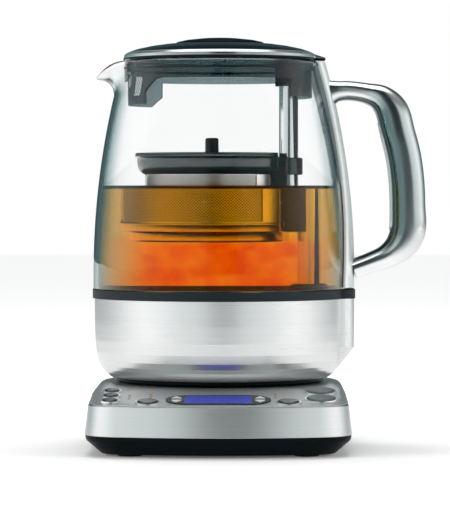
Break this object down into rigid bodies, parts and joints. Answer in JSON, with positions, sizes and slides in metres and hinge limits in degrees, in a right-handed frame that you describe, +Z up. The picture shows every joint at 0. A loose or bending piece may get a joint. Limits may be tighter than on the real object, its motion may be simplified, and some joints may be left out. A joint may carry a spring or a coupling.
{
  "type": "tea maker",
  "caption": "Glass jug with a steel heated foot, a handle, a lid and a motor-lifted perforated tea basket on a post, standing on a power base with a sloping control panel.",
  "frame": {"origin": "on the jug's swivel axis, at the floor, on the face of the central foot", "axes": "+Z up, +X towards the handle, -X towards the spout, -Y towards the controls"},
  "size_m": [0.2068, 0.208, 0.2508],
  "materials": {
    "black_plastic": "satin black moulded plastic",
    "gloss_black": "gloss black moulded plastic",
    "silver_plastic": "satin silver paint on moulded plastic",
    "brushed_steel": "horizontally brushed stainless steel",
    "polished_steel": "polished stainless steel",
    "cast_handle": "satin polished cast alloy",
    "glass": "clear borosilicate glass",
    "smoke_plastic": "smoke tinted clear plastic",
    "grey_plastic": "dark grey heat-proof plastic",
    "seal_rubber": "soft dark seal rubber",
    "foot_rubber": "non-slip rubber",
    "mesh_steel": "perforated stainless steel sheet",
    "bezel_chrome": "bright trim ring",
    "display_blue": "blue backlit display window",
    "circuit_board": "green circuit board",
    "contact_brass": "plated contact metal",
    "key_grey": "dark grey key cap",
    "key_light": "light arrow key",
    "led_red": "indicator light",
    "motor_steel": "plated steel can",
    "plate_metal": "heater plate metal",
    "element_metal": "sheathed heating element",
    "white_nylon": "white nylon",
    "magnet_metal": "nickel plated magnet",
    "screw_steel": "zinc plated steel screw"
  },
  "bodies": {
    "power_base": {"base_tray": "black_plastic", "rubber_feet": "foot_rubber", "steel_band": "brushed_steel", "control_deck": "silver_plastic", "swivel_connector": "black_plastic", "connector_contacts": "contact_brass", "display_bezel": "gloss_black", "display_window": "display_blue", "display_module": "circuit_board", "button_bezels": "bezel_chrome", "control_board": "circuit_board", "tact_switches": "black_plastic", "indicator_leds": "led_red", "power_board": "circuit_board", "cord_gland": "black_plastic", "base_screws": "screw_steel"},
    "jug_socket": {"connector_socket": "black_plastic", "socket_contacts": "contact_brass"},
    "jug": {"glass_jug": "glass", "glass_seal_ring": "seal_rubber", "steel_cup": "brushed_steel", "heater_plate": "plate_metal", "heating_element": "element_metal", "jug_bottom_cover": "black_plastic", "handle_spine": "polished_steel", "handle_grip": "cast_handle", "handle_grip_insert": "cast_handle", "handle_screws": "screw_steel", "lift_post": "polished_steel", "post_seat": "grey_plastic", "lift_motor": "motor_steel", "gearbox_bracket": "motor_steel", "temperature_probe": "white_nylon", "cup_screws": "screw_steel"},
    "pinion": {"motor_pinion": "contact_brass"},
    "screw": {"lead_screw": "motor_steel"},
    "carriage": {"magnet_carriage": "white_nylon", "carriage_magnets": "magnet_metal"},
    "lid": {"lid_cover": "gloss_black", "lid_knob": "gloss_black", "lid_skirt": "smoke_plastic", "lid_seal": "seal_rubber"},
    "basket": {"basket_collar": "grey_plastic", "basket_mesh": "mesh_steel", "slider_magnets": "magnet_metal"},
    "basket_cover": {"basket_lid": "grey_plastic", "basket_lid_knob": "gloss_black"},
    "hour_button": {"hour_button": "key_grey"},
    "minute_button": {"minute_button": "key_grey"},
    "clock_button": {"clock_button": "key_grey"},
    "tea_type_button": {"tea_type_button": "key_grey"},
    "strength_button": {"strength_button": "key_grey"},
    "start_button": {"start_button": "key_grey"},
    "hot_water_button": {"hot_water_button": "key_grey"},
    "temp_up_key": {"temp_up_key": "key_light"},
    "temp_down_key": {"temp_down_key": "key_light"},
    "time_up_key": {"time_up_key": "key_light"},
    "time_down_key": {"time_down_key": "key_light"}
  },
  "joints": [
    {"name": "jug_lift", "type": "slide", "parent": "power_base", "child": "jug_socket", "axis": [0, 0, 1], "range_m": [0, 0.09]},
    {"name": "jug_swivel", "type": "hinge", "parent": "jug_socket", "child": "jug", "pos_m": [0, 0, 0.05], "axis": [0, 0, 1], "continuous": true},
    {"name": "lid_lift", "type": "slide", "parent": "jug", "child": "lid", "axis": [0, 0, 1], "range_m": [0, 0.09]},
    {"name": "basket_lift", "type": "slide", "parent": "jug", "child": "basket", "axis": [0, 0, 1], "range_m": [-0.026, 0.036]},
    {"name": "basket_cover_lift", "type": "slide", "parent": "basket", "child": "basket_cover", "axis": [0, 0, 1], "range_m": [0, 0.03]},
    {"name": "carriage_slide", "type": "slide", "parent": "jug", "child": "carriage", "axis": [0, 0, 1], "range_m": [-0.027, 0.037]},
    {"name": "screw_turn", "type": "hinge", "parent": "jug", "child": "screw", "pos_m": [0.0425, 0, 0.1], "axis": [0, 0, 1], "range_deg": [-810, 1110]},
    {"name": "pinion_turn", "type": "hinge", "parent": "jug", "child": "pinion", "pos_m": [0.0425, 0.01688, 0.08], "axis": [0, 0, 1], "range_deg": [-2775, 2025]},
    {"name": "hour_button_press", "type": "slide", "parent": "power_base", "child": "hour_button", "axis": [0, -0.1392, 0.9903], "range_m": [-0.001, 0], "stiffness_N_per_m": 600},
    {"name": "minute_button_press", "type": "slide", "parent": "power_base", "child": "minute_button", "axis": [0, -0.1392, 0.9903], "range_m": [-0.001, 0], "stiffness_N_per_m": 600},
    {"name": "clock_button_press", "type": "slide", "parent": "power_base", "child": "clock_button", "axis": [0, -0.1392, 0.9903], "range_m": [-0.001, 0], "stiffness_N_per_m": 600},
    {"name": "tea_type_button_press", "type": "slide", "parent": "power_base", "child": "tea_type_button", "axis": [0, -0.1392, 0.9903], "range_m": [-0.001, 0], "stiffness_N_per_m": 600},
    {"name": "strength_button_press", "type": "slide", "parent": "power_base", "child": "strength_button", "axis": [0, -0.1392, 0.9903], "range_m": [-0.001, 0], "stiffness_N_per_m": 600},
    {"name": "start_button_press", "type": "slide", "parent": "power_base", "child": "start_button", "axis": [0, -0.1392, 0.9903], "range_m": [-0.001, 0], "stiffness_N_per_m": 600},
    {"name": "hot_water_button_press", "type": "slide", "parent": "power_base", "child": "hot_water_button", "axis": [0, -0.1392, 0.9903], "range_m": [-0.001, 0], "stiffness_N_per_m": 600},
    {"name": "temp_up_key_press", "type": "slide", "parent": "power_base", "child": "temp_up_key", "axis": [0, -0.1392, 0.9903], "range_m": [-0.001, 0], "stiffness_N_per_m": 600},
    {"name": "temp_down_key_press", "type": "slide", "parent": "power_base", "child": "temp_down_key", "axis": [0, -0.1392, 0.9903], "range_m": [-0.001, 0], "stiffness_N_per_m": 600},
    {"name": "time_up_key_press", "type": "slide", "parent": "power_base", "child": "time_up_key", "axis": [0, -0.1392, 0.9903], "range_m": [-0.001, 0], "stiffness_N_per_m": 600},
    {"name": "time_down_key_press", "type": "slide", "parent": "power_base", "child": "time_down_key", "axis": [0, -0.1392, 0.9903], "range_m": [-0.001, 0], "stiffness_N_per_m": 600}
  ],
  "couplings": [
    {"joint": "carriage_slide", "follows": "basket_lift", "ratio": 1},
    {"joint": "screw_turn", "follows": "basket_lift", "rad_per_m": 523.6},
    {"joint": "pinion_turn", "follows": "basket_lift", "rad_per_m": -1309}
  ]
}
